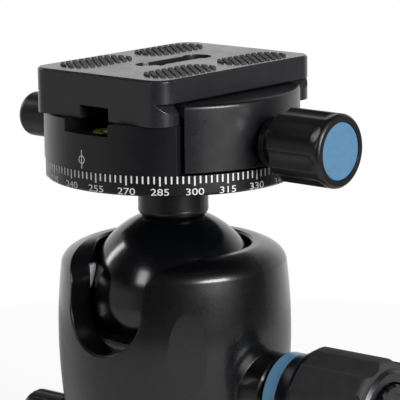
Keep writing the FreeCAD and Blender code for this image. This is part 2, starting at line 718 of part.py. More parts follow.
def jaw_section(side):
    """The dovetail side of one jaw: an upright wall, a 45-degree flank and a narrow nose."""
    flank_z = FLANK_SUM - JAW_X
    return [(side * JAW_X, flank_z), (side * NOSE_X, NOSE_Z), (side * NOSE_X, JAW_TOP)]


def nose_trims(side):
    """Blocks that square off both ends of a jaw's nose, inside the round outline."""
    near = min(0, side * JAW_X)
    far = max(0, side * JAW_X)
    return [block(near, far, -FAR, -NOSE_HALF_Y, PLATE_BOTTOM, FAR * 2),
            block(near, far, NOSE_HALF_Y, FAR, PLATE_BOTTOM, FAR * 2)]


def round_blank(z0, z1):
    """The clamp's round outline, with its top outer edge rounded over."""
    return turned((0, z0), [
        (CLAMP_R, z0), (CLAMP_R, z1 - JAW_EDGE_R),
        (CLAMP_R - 0.26, z1 - 0.26, CLAMP_R - JAW_EDGE_R, z1), (0, z1)])


def clamp_body():
    """The round body with the fixed jaw on its -X side and a channel along Y."""
    blank = round_blank(CLAMP_BOTTOM, JAW_TOP)
    section = outline((-JAW_X, PLATE_BOTTOM - RUNNING), jaw_section(-1) + [
        (-NOSE_X, FAR * 2), (FAR, FAR * 2), (FAR, PLATE_BOTTOM - RUNNING)], -FAR)
    blank = blank.cut(section.extrude(vec(0, 2 * FAR, 0)))
    blank = blank.cut(block(BODY_CUT_X, FAR, -FAR, FAR, 0, 2 * FAR))
    blank = cut_all(blank, nose_trims(-1))
    channel = block(-CHANNEL_HALF, CHANNEL_HALF, -FAR, FAR, CHANNEL_FLOOR, 2 * FAR)
    hub_bore = disc(HUB_R + RUNNING, 0, 2 * FAR)
    washer_well = disc(COUNTERBORE_R, HUB_TOP - RUNNING, 2 * FAR)
    level_well = Part.makeCylinder(LEVEL_R + RUNNING, FAR, vec(LEVEL_X, LEVEL_Y, CHANNEL_FLOOR - LEVEL_DEEP))
    screw_bore = rod_x(CLAMP_SCREW_R + RUNNING, CLAMP_BORE_END_X, FAR, 0, CLAMP_SCREW_Z)
    lock_bore = rod_x(TOP_LOCK_SCREW_R + RUNNING, -FAR, 0, 0, TOP_LOCK_Z)
    body = cut_all(blank, [channel, hub_bore, washer_well, level_well, screw_bore, lock_bore])
    for side in (-1, 1):
        body = body.cut(rod_x(PIN_R + RUNNING, PIN_X0 - 0.5, FAR, side * PIN_Y, CLAMP_SCREW_Z))
        body = body.cut(rod_x(SPRING_R + SLIDING, SPRING_X0, FAR, side * SPRING_Y, CLAMP_SCREW_Z))
    return body


def movable_jaw():
    """The round segment that the knob draws in against the plate's dovetail."""
    blank = round_blank(JAW_BOTTOM, JAW_TOP)
    inner = outline((JAW_X, 0), jaw_section(1) + [
        (NOSE_X, FAR * 2), (-FAR, FAR * 2), (-FAR, 0)], -FAR)
    jaw = blank.cut(inner.extrude(vec(0, 2 * FAR, 0)))
    jaw = cut_all(jaw, nose_trims(1))
    jaw = jaw.cut(rod_x(CLAMP_SCREW_R + RUNNING, 0, FAR, 0, CLAMP_SCREW_Z))
    for side in (-1, 1):
        jaw = jaw.cut(rod_x(PIN_R + RUNNING, 0, PIN_X1 + RUNNING, side * PIN_Y, CLAMP_SCREW_Z))
        jaw = jaw.cut(rod_x(SPRING_R + SLIDING, 0, SPRING_X1 + RUNNING, side * SPRING_Y, CLAMP_SCREW_Z))
    return jaw


def jaw_guide_pins():
    pins = [rod_x(PIN_R, PIN_X0, PIN_X1, side * PIN_Y, CLAMP_SCREW_Z) for side in (-1, 1)]
    return Part.makeCompound(pins)


def jaw_springs():
    """The two springs that push the jaw open, packed down to plain sleeves."""
    springs = []
    for side in (-1, 1):
        sleeve = rod_x(SPRING_R, SPRING_X0, SPRING_X1, side * SPRING_Y, CLAMP_SCREW_Z)
        springs.append(sleeve.cut(rod_x(SPRING_IN_R, 0, FAR, side * SPRING_Y, CLAMP_SCREW_Z)))
    return Part.makeCompound(springs)


def level_bezel():
    low = CHANNEL_FLOOR - LEVEL_DEEP
    bezel = Part.makeCylinder(LEVEL_R, LEVEL_DEEP - 0.1, vec(LEVEL_X, LEVEL_Y, low))
    return bezel.cut(Part.makeCylinder(LEVEL_VIAL_R + RUNNING, LEVEL_DEEP, vec(LEVEL_X, LEVEL_Y, low + 0.6)))


def level_vial():
    low = CHANNEL_FLOOR - LEVEL_DEEP + 0.6
    vial = turned((0, low), [(LEVEL_VIAL_R, low), (LEVEL_VIAL_R, CHANNEL_FLOOR - 0.6),
                             (LEVEL_VIAL_R - 0.5, CHANNEL_FLOOR - 0.2), (0, CHANNEL_FLOOR - 0.2)])
    vial.translate(vec(LEVEL_X, LEVEL_Y, 0))
    return vial


def clamp_screw():
    return rod_x(CLAMP_SCREW_R, CLAMP_SCREW_TIP_X, CLAMP_KNOB_END_X - 5.0, 0, CLAMP_SCREW_Z)


def clamp_knob():
    """A collar, a conical back and a gripping drum with shallow flutes, recessed for its cap."""
    bore = CLAMP_SCREW_R + RUNNING
    screw_end = CLAMP_KNOB_END_X - 5.0 + RUNNING
    cap_floor = CLAMP_KNOB_END_X - CAP_T - CAP_SUNK
    body = turned((bore, CLAMP_KNOB_X0), [
        (CLAMP_KNOB_COLLAR_R, CLAMP_KNOB_X0), (CLAMP_KNOB_COLLAR_R, CLAMP_KNOB_COLLAR_X),
        (CLAMP_KNOB_R, CLAMP_KNOB_CONE_X), (CLAMP_KNOB_R, CLAMP_KNOB_END_X - 1.2),
        (CLAMP_KNOB_R - 0.14, CLAMP_KNOB_END_X - 0.36, CLAMP_KNOB_FACE_R, CLAMP_KNOB_END_X),
        (CAP_R + RUNNING, CLAMP_KNOB_END_X), (CAP_R + RUNNING, cap_floor),
        (0, cap_floor), (0, screw_end), (bore, screw_end)])
    centre = CLAMP_KNOB_R + CLAMP_KNOB_FLUTE_R - CLAMP_KNOB_FLUTE_DEPTH
    length = CLAMP_KNOB_END_X - 2.4 - CLAMP_KNOB_CONE_X
    flute = Part.makeCylinder(CLAMP_KNOB_FLUTE_R, length, vec(centre, 0, CLAMP_KNOB_CONE_X - 1.0))
    return lay_along_x(cut_all(body, pattern(flute, CLAMP_KNOB_FLUTES, 0.0)), CLAMP_SCREW_Z)


def clamp_knob_cap():
    low = CLAMP_KNOB_END_X - CAP_T - CAP_SUNK
    high = CLAMP_KNOB_END_X - CAP_SUNK
    cap = turned((0, low), [(CAP_R, low), (CAP_R, high - 0.15), (CAP_R - 0.15, high), (0, high)])
    return lay_along_x(cap, CLAMP_SCREW_Z)


# Camera plate

def rounded_slab(half_x, half_y, corner, z0, z1):
    slab = block(-half_x, half_x, -half_y, half_y, z0, z1)
    uprights = []
    for edge in slab.Edges:
        first, last = [v.Point for v in edge.Vertexes]
        if abs(first.z - last.z) > corner / 2:
            uprights.append(edge)
    return slab.makeFillet(corner, uprights)


def top_edges(shape, z):
    found = []
    for edge in shape.Edges:
        if all(abs(v.Point.z - z) < 1e-6 for v in edge.Vertexes):
            found.append(edge)
    return found


def dovetail_cut(side):
    far = side * (PLATE_HALF_X + 5)
    face = outline((side * PLATE_HALF_X, PLATE_LIP_Z), [
        (side * PLATE_WAIST_X, PLATE_LIP_Z + PLATE_HALF_X - PLATE_WAIST_X),
        (side * PLATE_WAIST_X, PLATE_FLANGE_Z), (far, PLATE_FLANGE_Z), (far, PLATE_LIP_Z)], -FAR)
    return face.extrude(vec(0, 2 * FAR, 0))


def screw_slot(z0, z1):
    upright = block(-PLATE_SLOT_HALF, PLATE_SLOT_HALF, PLATE_SLOT_Y0, PLATE_SLOT_Y1, z0, z1)
    ends = [Part.makeCylinder(PLATE_HOLE_R, z1 - z0, vec(0, y, z0)) for y in (PLATE_SLOT_Y0, PLATE_SLOT_Y1)]
    return upright.fuse(ends[0]).fuse(ends[1])


def quick_release_plate():
    """A dovetail plate: flange, 45-degree grooves, an underside channel and a screw slot."""
    slab = rounded_slab(PLATE_HALF_X, PLATE_HALF_Y, PLATE_CORNER_R, PLATE_BOTTOM, PLATE_TOP)
    slab = slab.makeChamfer(PLATE_EDGE, top_edges(slab, PLATE_TOP))
    slab = cut_all(slab, [dovetail_cut(-1), dovetail_cut(1)])
    channel = block(-PLATE_CHANNEL_HALF, PLATE_CHANNEL_HALF, -FAR, FAR, 0, PLATE_CHANNEL_TOP)
    pocket = block(-PLATE_POCKET_HALF, PLATE_POCKET_HALF, PLATE_POCKET_Y0, PLATE_POCKET_Y1,
                   0, PLATE_POCKET_TOP)
    slab = cut_all(slab, [channel, pocket, screw_slot(PLATE_POCKET_TOP - 1, PLATE_TOP + 1)])
    slab = slab.cut(grip_ribs(FAR, GRIP_DEEP, RUNNING))
    slab.translate(vec(0, PLATE_Y, 0))
    return slab


def oval_prism(cx, cy, half_x, half_y, z0, z1):
    """An upright prism on an oval outline of two half circles and two straights."""
    oval = block(cx - half_x, cx + half_x, cy - half_y + half_x, cy + half_y - half_x, z0, z1)
    for end in (-1, 1):
        round_end = Part.makeCylinder(half_x, z1 - z0, vec(cx, cy + end * (half_y - half_x), z0))
        oval = oval.fuse(round_end)
    return oval.removeSplitter()


def grip_ribs(proud, deep, extra=0.0):
    """Four oval groups of slanting rubber ribs let into the plate's top."""
    ribs = []
    z0 = PLATE_TOP - deep
    z1 = PLATE_TOP + proud
    half_w = GRIP_RIB_HALF_W + extra
    middle = (GRIP_RIBS - 1) / 2
    for cx in (-GRIP_X, GRIP_X):
        for cy in (-GRIP_Y, GRIP_Y):
            oval = oval_prism(cx, cy, GRIP_HALF_X + extra, GRIP_HALF_Y + extra, z0, z1)
            for i in range(GRIP_RIBS):
                y = cy + GRIP_PITCH * (i - middle)
                bar = block(-GRIP_HALF_Y, GRIP_HALF_Y, -half_w, half_w, z0, z1)
                bar.rotate(ORIGIN, UP, GRIP_ANGLE)
                bar.translate(vec(cx, y, 0))
                found = bar.common(oval).Solids
                ribs += [rib for rib in found if rib.Volume > GRIP_LEAST_VOLUME]
    return Part.makeCompound(ribs)


def plate_grip_ribs():
    ribs = grip_ribs(GRIP_PROUD, GRIP_DEEP - RUNNING)
    ribs.translate(vec(0, PLATE_Y, 0))
    return ribs


def camera_screw():
    """The captive camera screw, dropped low in the slot: coin-slotted head, thin neck, thread."""
    head_top = CAMERA_HEAD_Z + CAMERA_HEAD_H
    neck_top = head_top + CAMERA_NECK_H
    screw = turned((0, CAMERA_HEAD_Z), [
        (CAMERA_HEAD_R - 0.3, CAMERA_HEAD_Z), (CAMERA_HEAD_R, CAMERA_HEAD_Z + 0.3),
        (CAMERA_HEAD_R, head_top), (CAMERA_NECK_R, head_top), (CAMERA_NECK_R, neck_top),
        (CAMERA_THREAD_R, neck_top + 0.5), (CAMERA_THREAD_R, CAMERA_TIP_Z - 0.6),
        (CAMERA_THREAD_R - 0.6, CAMERA_TIP_Z), (0, CAMERA_TIP_Z)])
    coin = block(-CAMERA_HEAD_R - 1, CAMERA_HEAD_R + 1, -CAMERA_COIN_SLOT / 2, CAMERA_COIN_SLOT / 2,
                 0, CAMERA_HEAD_Z + 1.0)
    screw = screw.cut(coin)
    screw.translate(vec(0, PLATE_Y + PLATE_SLOT_Y0, 0))
    return screw


NODES = {
    "base_plate": base_plate,
    "base_scale_ring": base_scale_ring,
    "base_pan_washer": pan_washer,
    "pan_retainer_disc": pan_retainer_disc,
    "pan_retainer_screws": pan_retainer_screws,
    "housing": housing,
    "ball_seat_ring": seat_ring,
    "lower_ball_cup": lower_ball_cup,
    "lock_wedge": lock_wedge,
    "main_lock_shaft": main_lock_shaft,
    "main_lock_knob": main_lock_knob,
    "main_knob_grip": main_knob_grip,
    "blue_collar_ring": blue_collar_ring,
    "friction_dial": friction_dial,
    "base_pan_lock_knob": base_pan_lock_knob,
    "base_pan_lock_screw": base_pan_lock_screw,
    "base_pan_lock_pad": base_pan_lock_pad,
    "ball": ball,
    "stem": stem,
    "pan_scale_ring": pan_scale_ring,
    "scale_ring_screws": scale_ring_screws,
    "top_pan_washer": top_pan_washer,
    "pivot_washer": pivot_washer,
    "pivot_bolt": pivot_bolt,
    "clamp_body": clamp_body,
    "level_bezel": level_bezel,
    "level_vial": level_vial,
    "jaw_springs": jaw_springs,
    "movable_jaw": movable_jaw,
    "jaw_guide_pins": jaw_guide_pins,
    "clamp_screw": clamp_screw,
    "clamp_knob": clamp_knob,
    "clamp_knob_cap": clamp_knob_cap,
    "top_pan_lock_knob": top_pan_lock_knob,
    "top_pan_lock_screw": top_pan_lock_screw,
    "top_pan_lock_pad": top_pan_lock_pad,
    "quick_release_plate": quick_release_plate,
    "plate_grip_ribs": plate_grip_ribs,
    "camera_screw": camera_screw,
}


TURNED_WITH_HOUSING = (
    "housing", "ball_seat_ring", "lower_ball_cup", "lock_wedge", "main_lock_shaft",
    "main_lock_knob", "main_knob_grip", "blue_collar_ring", "friction_dial",
    "base_pan_lock_knob", "base_pan_lock_screw", "base_pan_lock_pad")


def main():
    os.makedirs("parts", exist_ok=True)
    for node, make in NODES.items():
        shape = make()
        if node in TURNED_WITH_HOUSING:
            shape = spun(shape, HOUSING_TURN)
        if not shape.isValid():
            raise ValueError(node + " is not a valid shape")
        save(node, shape)
        print(node, len(shape.Solids), "solids", round(shape.Volume, 1), "mm3")


main()
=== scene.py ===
import json
import math

import bmesh
import bpy
from mathutils import Matrix, Vector

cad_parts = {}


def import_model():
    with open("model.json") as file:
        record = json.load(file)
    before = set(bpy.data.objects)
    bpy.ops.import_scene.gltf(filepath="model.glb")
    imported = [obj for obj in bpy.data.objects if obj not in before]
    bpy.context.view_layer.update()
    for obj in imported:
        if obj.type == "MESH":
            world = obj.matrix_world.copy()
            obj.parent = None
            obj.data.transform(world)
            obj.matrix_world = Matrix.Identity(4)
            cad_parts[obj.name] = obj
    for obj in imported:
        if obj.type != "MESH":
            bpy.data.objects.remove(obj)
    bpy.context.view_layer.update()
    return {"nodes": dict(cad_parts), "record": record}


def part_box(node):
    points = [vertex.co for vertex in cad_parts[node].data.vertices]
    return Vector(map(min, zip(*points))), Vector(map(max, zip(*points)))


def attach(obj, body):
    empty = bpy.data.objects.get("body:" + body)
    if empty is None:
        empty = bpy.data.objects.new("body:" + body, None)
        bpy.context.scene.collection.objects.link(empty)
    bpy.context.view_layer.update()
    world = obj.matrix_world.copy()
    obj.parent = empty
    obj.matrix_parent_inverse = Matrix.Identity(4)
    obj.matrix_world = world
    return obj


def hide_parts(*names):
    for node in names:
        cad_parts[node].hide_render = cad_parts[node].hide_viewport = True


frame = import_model()

MM = 0.001
FULL_TURN = 2 * math.pi
RECORD = frame["record"]
NODES = frame["nodes"]
scene = bpy.context.scene


# Node helpers

MIX_FIRST, MIX_SECOND, MIX_RESULT = 6, 7, 2
NOISE_LOW, NOISE_HIGH = 0.3, 0.7
EDGE_SAMPLES = 6
COAT_IOR = 1.5


class Nodes:
    """Short ways to add nodes to one tree and to link them."""

    def __init__(self, tree):
        self.tree = tree

    def node(self, kind, **props):
        n = self.tree.nodes.new(kind)
        for key, value in props.items():
            setattr(n, key, value)
        return n

    def link(self, a, b):
        self.tree.links.new(a, b)

    def feed(self, value, socket):
        """A number or a colour is set on the socket, and an output is linked to it."""
        if isinstance(value, bpy.types.NodeSocket):
            self.link(value, socket)
        elif isinstance(value, tuple):
            socket.default_value = (*value, 1.0)
        else:
            socket.default_value = value

    def math(self, operation, a, b=0.0):
        n = self.node("ShaderNodeMath", operation=operation)
        self.feed(a, n.inputs[0])
        self.feed(b, n.inputs[1])
        return n.outputs[0]

    def ranged(self, value, from_low, from_high, low=0.0, high=1.0, shape="SMOOTHSTEP"):
        n = self.node("ShaderNodeMapRange", interpolation_type=shape)
        n.inputs["From Min"].default_value = from_low
        n.inputs["From Max"].default_value = from_high
        n.inputs["To Min"].default_value = low
        n.inputs["To Max"].default_value = high
        self.link(value, n.inputs["Value"])
        return n.outputs["Result"]

    def ray(self, kind):
        """One for a ray of this kind, such as Camera, and zero for the others."""
        return self.node("ShaderNodeLightPath").outputs[f"Is {kind} Ray"]


class Mat(Nodes):
    """A node material with its shader and short ways to add the rest."""

    def __init__(self, name, base, rough, metallic=0.0, specular=0.5):
        self.m = bpy.data.materials.new(name)
        self.m.use_nodes = True
        super().__init__(self.m.node_tree)
        self.bsdf = self.tree.nodes["Principled BSDF"]
        self.set("Base Color", (*base, 1.0))
        self.set("Roughness", rough)
        self.set("Metallic", metallic)
        self.set("Specular IOR Level", specular)
        self.set("IOR", COAT_IOR)
        self.coords = self.node("ShaderNodeTexCoord").outputs["Object"]
        self.normal = None

    def set(self, socket, value):
        self.bsdf.inputs[socket].default_value = value

    def stretched(self, scale, rotation=(0, 0, 0)):
        n = self.node("ShaderNodeMapping")
        n.inputs["Scale"].default_value = scale
        n.inputs["Rotation"].default_value = rotation
        self.link(self.coords, n.inputs["Vector"])
        return n.outputs["Vector"]

    def noise(self, scale, detail=4.0, rough=0.6, vector=None):
        n = self.node("ShaderNodeTexNoise")
        n.inputs["Scale"].default_value = scale
        n.inputs["Detail"].default_value = detail
        n.inputs["Roughness"].default_value = rough
        self.link(vector or self.coords, n.inputs["Vector"])
        return n.outputs["Fac"]

    def cells(self, scale):
        n = self.node("ShaderNodeTexVoronoi", feature="F1")
        n.inputs["Scale"].default_value = scale
        self.link(self.coords, n.inputs["Vector"])
        return n.outputs["Distance"]

    def spread(self, value, low, high, from_low=NOISE_LOW, from_high=NOISE_HIGH):
        """The usual span of a noise, stretched to run from low to high."""
        return self.ranged(value, from_low, from_high, low, high, "LINEAR")

    def mix(self, fac, a, b):
        n = self.node("ShaderNodeMix", data_type="RGBA")
        self.feed(a, n.inputs[MIX_FIRST])
        self.feed(b, n.inputs[MIX_SECOND])
        self.link(fac, n.inputs[0])
        return n.outputs[MIX_RESULT]

    def mottled(self, cloud, base, dark, light, from_low=NOISE_LOW, from_high=NOISE_HIGH):
        """A base colour that goes from dark to light times itself with a cloud."""
        fac = self.spread(cloud, 0.0, 1.0, from_low, from_high)
        return self.mix(fac, tint(base, dark), tint(base, light))

    def colour(self, output):
        self.link(output, self.bsdf.inputs["Base Color"])

    def roughness(self, output):
        self.link(output, self.bsdf.inputs["Roughness"])

    def bump(self, height, distance, strength=1.0):
        """Adds to the bumps and the soft edges that are already there."""
        n = self.node("ShaderNodeBump")
        n.inputs["Distance"].default_value = distance
        n.inputs["Strength"].default_value = strength
        self.link(height, n.inputs["Height"])
        if self.normal is not None:
            self.link(self.normal, n.inputs["Normal"])
        self.normal = n.outputs["Normal"]
        self.link(self.normal, self.bsdf.inputs["Normal"])

    def soft_edges(self, radius):
        """Edges catch the light as if slightly rounded. Comes before the first bump."""
        n = self.node("ShaderNodeBevel", samples=EDGE_SAMPLES)
        n.inputs["Radius"].default_value = radius
        self.normal = n.outputs["Normal"]


def tint(base, factor):
    return tuple(min(1.0, c * factor) for c in base)


# Materials. Texture scales are features to a metre, and the cap's rings are radians to a metre

PIT_SCALE = 4200.0
DENT_SCALE = PIT_SCALE * 0.55
DENT_SHARE = 0.6
MOTTLE_SCALE = 160.0
HOUSING_COAT_ROUGH = 0.14
LATHE_SCALE = 9000.0
LATHE_STRETCH = (0.02, 0.02, 1)
TARNISH_SCALE = 420.0
RUBBER_GRAIN_SCALE = 6500.0
DUST_SCALE = 300.0
POLYMER_FLOW_SCALE = 900.0
POLYMER_GRAIN_SCALE = 5200.0
HAZE_SCALE = 240.0
WIPE_SCALE = 2600.0
WIPE_STRETCH, WIPE_TURN = (1.0, 0.08, 0.3), (0.4, 0.2, 0.9)
CAP_RING_SCALE = 42000.0
CAP_CLOUD_SCALE = 700.0
LIQUID_CLOUD_SCALE = 500.0
LIQUID_COAT, LIQUID_COAT_ROUGH = 1.0, 0.03
PAINT_CLOUD_SCALE = 2800.0


def blasted(name, base, rough, deep=0.010, speck=0.22, specular=0.5, edge=0.2, coat=0.0):
    """Bead-blasted anodised metal: fine pits, a mottled tone and uneven gloss. Depth, edge in mm."""
    m = Mat(name, base, rough, specular=specular)
    fine = m.noise(PIT_SCALE, detail=3.0, rough=0.7)
    broad = m.noise(MOTTLE_SCALE, detail=3.0, rough=0.55)
    tone = m.mottled(fine, base, 1.0 - speck, 1.0 + speck)
    m.colour(m.mix(m.spread(broad, 0.0, 0.25), tone, tint(base, 1.25)))
    grit = m.math("ADD", m.spread(fine, -0.05, 0.05), m.spread(broad, -0.03, 0.03))
    m.roughness(m.math("ADD", grit, rough))
    m.set("Coat Weight", coat)
    m.set("Coat Roughness", HOUSING_COAT_ROUGH)
    m.soft_edges(edge * MM)
    m.bump(fine, deep * MM)
    m.bump(m.cells(DENT_SCALE), deep * DENT_SHARE * MM, DENT_SHARE)
    return m.m


def turned_metal(name, base, rough, metallic=1.0):
    """Lathe-turned metal with lines round the upright axis and slight tarnish."""
    m = Mat(name, base, rough, metallic=metallic)
    lines = m.noise(LATHE_SCALE, detail=2.0, rough=0.5, vector=m.stretched(LATHE_STRETCH))
    dirt = m.noise(TARNISH_SCALE, detail=5.0, rough=0.65)
    m.colour(m.mottled(dirt, base, 0.8, 1.08))
    m.roughness(m.spread(lines, rough * 0.75, rough * 1.3))
    m.bump(lines, 0.006 * MM)
    return m.m


def rubber(name, base, rough=0.72):
    """Fine-grained rubber with a little dust."""
    m = Mat(name, base, rough, specular=0.35)
    grain = m.noise(RUBBER_GRAIN_SCALE, rough=0.7)
    dust = m.noise(DUST_SCALE, detail=5.0, rough=0.7)
    m.colour(m.mottled(dust, base, 1.0, 1.8, 0.4, 0.75))
    m.roughness(m.spread(grain, rough - 0.08, rough + 0.08))
    m.bump(grain, 0.03 * MM)
    return m.m


def polymer(name, base, rough):
    """Moulded plastic, slightly cloudy."""
    m = Mat(name, base, rough, specular=0.45)
    cloud = m.noise(POLYMER_FLOW_SCALE)
    m.colour(m.mottled(cloud, base, 0.88, 1.12))
    m.roughness(m.spread(cloud, rough - 0.04, rough + 0.06))
    m.bump(m.noise(POLYMER_GRAIN_SCALE, detail=2.0, rough=0.5), 0.005 * MM)
    return m.m


def ball_finish(name, base, rough):
    """Polished hard coat with haze and hair-fine wipe marks."""
    m = Mat(name, base, rough, specular=0.55)
    haze = m.noise(HAZE_SCALE)
    across = m.stretched(WIPE_STRETCH, WIPE_TURN)
    wipes = m.noise(WIPE_SCALE, detail=2.0, rough=0.5, vector=across)
    m.colour(m.mottled(haze, base, 0.85, 1.25))
    marks = m.spread(wipes, rough - 0.015, rough + 0.02)
    m.roughness(m.math("ADD", m.spread(haze, -0.02, 0.03), marks))
    m.bump(wipes, 0.0006 * MM)
    return m.m


def cap_finish(name, base, rough):
    """Blue anodised disc with fine circular lathe marks about the knob's axis."""
    m = Mat(name, base, rough, metallic=0.35)
    place = m.node("ShaderNodeSeparateXYZ")
    m.link(m.coords, place.inputs[0])
    y = place.outputs["Y"]
    z = m.math("SUBTRACT", place.outputs["Z"], CLAMP_SCREW_Z)
    r = m.math("SQRT", m.math("ADD", m.math("MULTIPLY", y, y), m.math("MULTIPLY", z, z)))
    rings = m.math("SINE", m.math("MULTIPLY", r, CAP_RING_SCALE))
    cloud = m.noise(CAP_CLOUD_SCALE)
    m.colour(m.mottled(cloud, base, 0.95, 1.05))
    m.roughness(m.spread(cloud, rough - 0.03, rough + 0.05))
    m.bump(rings, 0.0012 * MM)
    return m.m


def liquid(name, base, rough):
    """The level's liquid under its clear window."""
    m = Mat(name, base, rough, specular=0.6)
    m.set("Coat Weight", LIQUID_COAT)
    m.set("Coat Roughness", LIQUID_COAT_ROUGH)
    cloud = m.noise(LIQUID_CLOUD_SCALE, detail=3.0, rough=0.5)
    m.colour(m.mottled(cloud, base, 0.85, 1.1))
    return m.m


def paint(name, base, rough=0.55):
    """Screen-printed paint, very slightly uneven."""
    m = Mat(name, base, rough, specular=0.4)
    cloud = m.noise(PAINT_CLOUD_SCALE, rough=0.7)
    m.colour(m.mottled(cloud, base, 0.86, 1.05))
    m.roughness(m.spread(cloud, rough - 0.08, rough + 0.08))
    m.bump(cloud, 0.004 * MM)
    return m.m


# Sizes that the pieces here share with the CAD model, in metres

RING_R = 28.3 * MM
RING_TOP = 78.6 * MM
CLAMP_R = 28.5 * MM
BASE_RING_R = 27.2 * MM
BASE_RING_TOP = 5.4 * MM
CLAMP_SCREW_Z = 84.0 * MM
FOOT_R = 24.6 * MM
SLOT_ANGLE = math.radians(-90 + 2.3)

BLACK = (0.0028, 0.0028, 0.0038)
BLUE = (0.083, 0.195, 0.318)

FINISH = {
    "black_anodised": blasted("black_anodised", BLACK, 0.33, deep=0.006, specular=0.42, edge=0.12),
    "black_housing": blasted("black_housing", (0.0010, 0.0010, 0.0014), 0.30, deep=0.004,
                             specular=0.3, edge=0.6, coat=0.45),
    "ball_black": ball_finish("ball_black", (0.0008, 0.001, 0.0016), 0.16),
    "blue_anodised": blasted("blue_anodised", BLUE, 0.3, deep=0.004, speck=0.06),
    "blue_cap": cap_finish("blue_cap", BLUE, 0.34),
    "black_rubber": rubber("black_rubber", (0.012, 0.012, 0.013)),
    "plate_black": blasted("plate_black", (0.011, 0.011, 0.013), 0.26, deep=0.0018, speck=0.08),
    "rib_rubber": rubber("rib_rubber", (0.030, 0.030, 0.031), 0.7),
    "seat_polymer": polymer("seat_polymer", (0.20, 0.20, 0.205), 0.34),
    "washer_polymer": polymer("washer_polymer", (0.78, 0.76, 0.70), 0.45),
    "steel": turned_metal("steel", (0.56, 0.56, 0.57), 0.28),
    "black_steel": turned_metal("black_steel", (0.07, 0.07, 0.075), 0.35, metallic=0.8),
    "brass": turned_metal("brass", (0.72, 0.53, 0.26), 0.3),
    "level_liquid": liquid("level_liquid", (0.55, 0.66, 0.08), 0.12),
    "level_bubble": liquid("level_bubble", (0.80, 0.86, 0.42), 0.08),
    "level_line": paint("level_line", (0.02, 0.02, 0.02)),
}
WHITE_PAINT = paint("white_paint", (0.52, 0.52, 0.52))

for part in RECORD["subparts"]:
    data = NODES[part["node"]].data
    data.materials.clear()
    data.materials.append(FINISH[part["material_slot"]])


# Piece helpers

def link_mesh(name, mesh, material, body):
    obj = bpy.data.objects.new(name, mesh)
    scene.collection.objects.link(obj)
    mesh.materials.clear()
    mesh.materials.append(material)
    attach(obj, body)
    return obj


def mesh_from(name, verts, faces):
    mesh = bpy.data.meshes.new(name)
    mesh.from_pydata([tuple(v) for v in verts], [], faces)
    mesh.update()
    return mesh


def smooth(mesh):
    mesh.polygons.foreach_set("use_smooth", [True] * len(mesh.polygons))


def on_drum(r, theta, z):
    return (r * math.cos(theta), r * math.sin(theta), z)


# Printed marks

PRINT_RISE = 0.012 * MM
CIRCLE_RISE = 0.013 * MM
CIRCLE_STEPS = 40
NUMBER_SPREAD = 1.34
NUMBER_EVERY = 15
FONT_TO_DIGIT = 1.38
FONT_CURVE_STEPS = 4
PATCH_FACES = ((2, 3, 7, 6), (0, 2, 6, 4), (1, 5, 7, 3), (0, 1, 3, 2), (4, 6, 7, 5))
CIRCLE_SIDES = ((1, 3), (3, 2), (2, 0), (0, 1))


def patch(verts, faces, r, theta, width, z0, z1):
    """A thin raised bar on a drum: at angle theta, width along the arc, from z0 to z1."""
    first = len(verts)
    half = width / 2 / r
    for angle in (theta - half, theta + half):
        for radius in (r - PRINT_RISE, r + PRINT_RISE):
            for z in (z0, z1):
                verts.append(on_drum(radius, angle, z))
    faces += [tuple(first + corner for corner in face) for face in PATCH_FACES]


def ticks(name, body, r, top, step_deg, major_every, minor, major, width, zero):
    """Lines that hang from one height all round a drum, a longer one at each major_every."""
    verts, faces = [], []
    for i in range(round(360 / step_deg)):
        length = major if i % major_every == 0 else minor
        patch(verts, faces, r, math.radians(i * step_deg + zero), width, top - length, top)
    return link_mesh(name, mesh_from(name, verts, faces), WHITE_PAINT, body)


def label_mesh(text, size):
    curve = bpy.data.curves.new("label", "FONT")
    curve.body = text
    curve.size = size
    curve.align_x = "CENTER"
    curve.extrude = PRINT_RISE
    curve.resolution_u = FONT_CURVE_STEPS
    obj = bpy.data.objects.new("label", curve)
    scene.collection.objects.link(obj)
    bpy.context.view_layer.update()
    solved = obj.evaluated_get(bpy.context.evaluated_depsgraph_get())
    mesh = bpy.data.meshes.new_from_object(solved)
    bpy.data.objects.remove(obj)
    bpy.data.curves.remove(curve)
    return mesh


def numbers(name, body, r, low, height, zero):
    """The degrees of a scale, printed round a drum with their feet at low."""
    verts, faces = [], []
    for degrees in range(0, 360, NUMBER_EVERY):
        mesh = label_mesh(str(degrees), height * FONT_TO_DIGIT)
        start = len(verts)
        for v in mesh.vertices:
            theta = math.radians(degrees + zero) + v.co.x * NUMBER_SPREAD / r
            verts.append(on_drum(r + v.co.z, theta, low + v.co.y))
        faces += [tuple(start + i for i in p.vertices) for p in mesh.polygons]
        bpy.data.meshes.remove(mesh)
    return link_mesh(name, mesh_from(name, verts, faces), WHITE_PAINT, body)


def index_mark(name, body, r, degrees, line, circle_z, circle_r, width):
    """An upright line from line[0] to line[1] with a circle across it."""
    verts, faces = [], []
    theta = math.radians(degrees)
    patch(verts, faces, r, theta, width, *line)
    first = len(verts)
    for i in range(CIRCLE_STEPS):
        a = FULL_TURN * i / CIRCLE_STEPS
        for radius in (circle_r - width / 2, circle_r + width / 2):
            for rise in (-PRINT_RISE, CIRCLE_RISE):
                along, up = radius * math.sin(a), radius * math.cos(a)
                verts.append(on_drum(r + rise, theta + along / r, circle_z + up))
    for i in range(CIRCLE_STEPS):
        k, n = first + 4 * i, first + 4 * ((i + 1) % CIRCLE_STEPS)
        faces += [(k + p, k + q, n + q, n + p) for p, q in CIRCLE_SIDES]
    return link_mesh(name, mesh_from(name, verts, faces), WHITE_PAINT, body)


# Scale of the clamp's panning ring and the mark that it is read at

